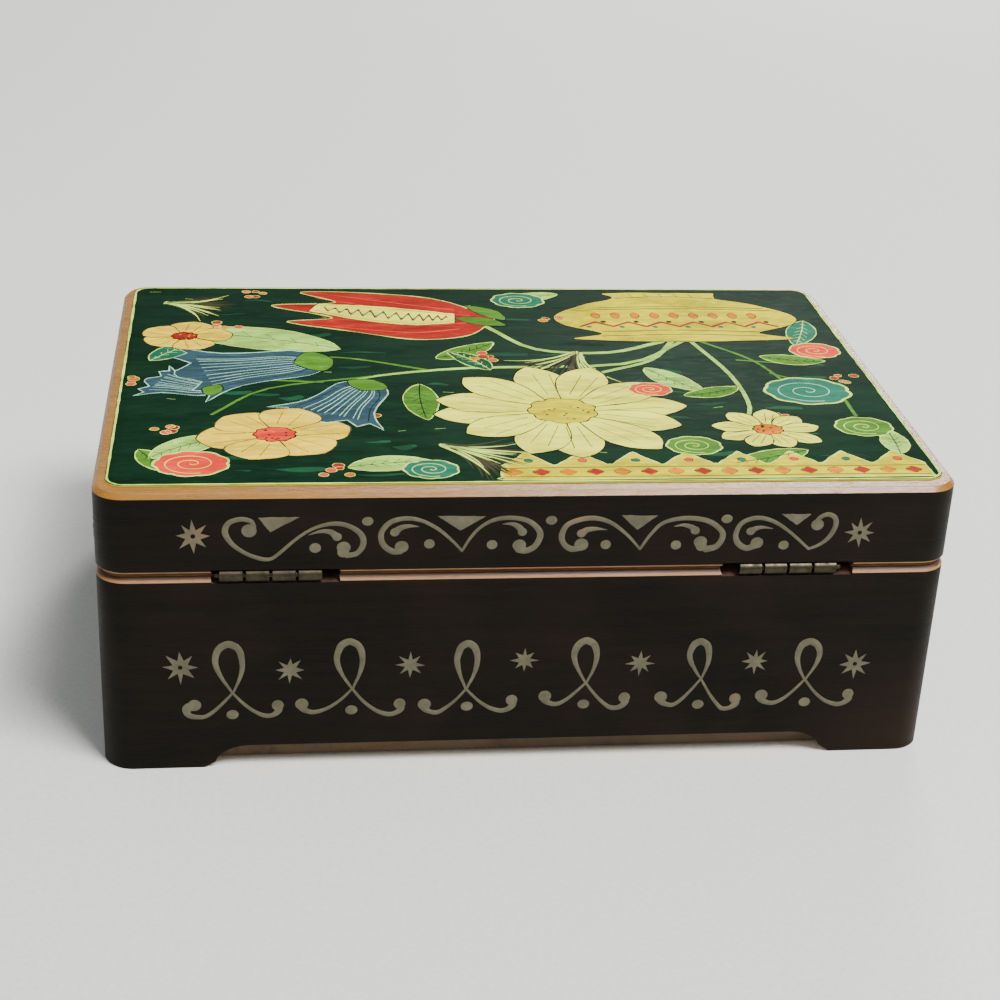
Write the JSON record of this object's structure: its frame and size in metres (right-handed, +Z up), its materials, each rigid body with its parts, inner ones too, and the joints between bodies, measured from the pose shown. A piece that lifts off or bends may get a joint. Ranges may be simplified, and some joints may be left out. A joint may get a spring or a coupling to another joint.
{
  "type": "music box",
  "caption": "Small wooden music box with a hinged picture lid, painted scroll bands, a felt-lined tray and a key-wound cylinder movement under glass.",
  "frame": {"origin": "on the table, under the middle of the box", "axes": "+Z up, front of the box faces -Y, hinges at +Y, +X to the right seen from the front"},
  "size_m": [0.146, 0.1024, 0.0525],
  "materials": {
    "stained_wood": "dark brown stained wood, satin, with painted bands",
    "bare_wood": "unstained wood, satin",
    "picture": "varnished painted sheet",
    "hinge_brass": "dark oxidised",
    "steel": "polished",
    "brass": "polished",
    "gilt_casting": "gilt casting, satin",
    "glass": "clear",
    "felt": "felt"
  },
  "bodies": {
    "case": {"back_glass_ledge": "bare_wood", "barrel_bridge": "gilt_casting", "bedplate": "gilt_casting", "bottom_panel": "bare_wood", "bottom_screw_1": "steel", "bottom_screw_2": "steel", "bottom_screw_3": "steel", "bottom_screw_4": "steel", "bracket_screw_1": "steel", "bridge_screw_1": "steel", "bridge_screw_2": "steel", "case_back": "stained_wood", "case_front": "stained_wood", "case_left": "stained_wood", "case_right": "stained_wood", "click": "steel", "comb": "steel", "comb_screw_1": "steel", "comb_screw_2": "steel", "front_glass_ledge": "bare_wood", "glass_cover": "glass", "governor_frame": "gilt_casting", "governor_screw_1": "steel", "governor_screw_2": "steel", "left_hinge_case_leaf": "hinge_brass", "left_hinge_pin": "hinge_brass", "movement_screw_1": "steel", "movement_screw_2": "steel", "movement_screw_3": "steel", "partition": "bare_wood", "right_hinge_case_leaf": "hinge_brass", "right_hinge_pin": "hinge_brass", "stop_bracket": "steel", "stop_spring": "steel", "tray_lining": "felt"},
    "lid": {"lid_back": "stained_wood", "lid_left": "stained_wood", "lid_front": "stained_wood", "lid_right": "stained_wood", "lid_top_panel": "bare_wood", "lid_picture": "picture", "left_hinge_lid_leaf": "hinge_brass", "right_hinge_lid_leaf": "hinge_brass"},
    "key": {"winding_key": "steel", "winding_arbor": "steel"},
    "barrel": {"spring_barrel": "brass", "barrel_cover": "brass", "crown_wheel": "brass", "mainspring": "steel"},
    "cylinder": {"pinned_cylinder": "brass", "cylinder_arbor": "steel", "cylinder_gear": "brass"},
    "first_wheel_set": {"first_arbor": "steel", "first_wheel": "brass"},
    "second_wheel_set": {"second_arbor": "steel", "worm_wheel": "brass"},
    "fan_set": {"governor_worm": "steel", "governor_fan": "brass"},
    "stop": {"stop_rod": "steel", "stop_finger": "brass"}
  },
  "joints": [
    {"name": "lid_hinge", "type": "hinge", "parent": "case", "child": "lid", "pos_m": [0, 0.0502, 0.0372], "axis": [-1, 0, 0], "range_deg": [0, 98]},
    {"name": "key_turn", "type": "hinge", "parent": "case", "child": "key", "pos_m": [-0.0385, -0.0146, 0.0009], "axis": [0, 0, 1], "range_deg": [0, 1800]},
    {"name": "cylinder_spin", "type": "hinge", "parent": "case", "child": "cylinder", "pos_m": [-0.0385, -0.0028, 0.0169], "axis": [0, 1, 0], "continuous": true},
    {"name": "barrel_spin", "type": "hinge", "parent": "case", "child": "barrel", "pos_m": [-0.0385, -0.0146, 0.0074], "axis": [0, 0, 1], "continuous": true},
    {"name": "first_wheel_spin", "type": "hinge", "parent": "case", "child": "first_wheel_set", "pos_m": [-0.04489, 0.0216, 0.0123], "axis": [0, 1, 0], "continuous": true},
    {"name": "second_wheel_spin", "type": "hinge", "parent": "case", "child": "second_wheel_set", "pos_m": [-0.04946, 0.0216, 0.0176], "axis": [0, 1, 0], "continuous": true},
    {"name": "fan_spin", "type": "hinge", "parent": "case", "child": "fan_set", "pos_m": [-0.05402, 0.0238, 0.02331], "axis": [0, 0, 1], "continuous": true},
    {"name": "stop_rod_lift", "type": "slide", "parent": "case", "child": "stop", "axis": [0, 0, 1], "range_m": [0, 0.004], "deforming": ["stop_spring"]}
  ],
  "couplings": [
    {"joint": "barrel_spin", "follows": "cylinder_spin", "ratio": 0.2},
    {"joint": "first_wheel_spin", "follows": "cylinder_spin", "ratio": -4},
    {"joint": "second_wheel_spin", "follows": "cylinder_spin", "ratio": 12},
    {"joint": "fan_spin", "follows": "cylinder_spin", "ratio": -240},
    {"joint": "stop_rod_lift", "follows": "lid_hinge", "m_per_rad": 0.00233}
  ]
}
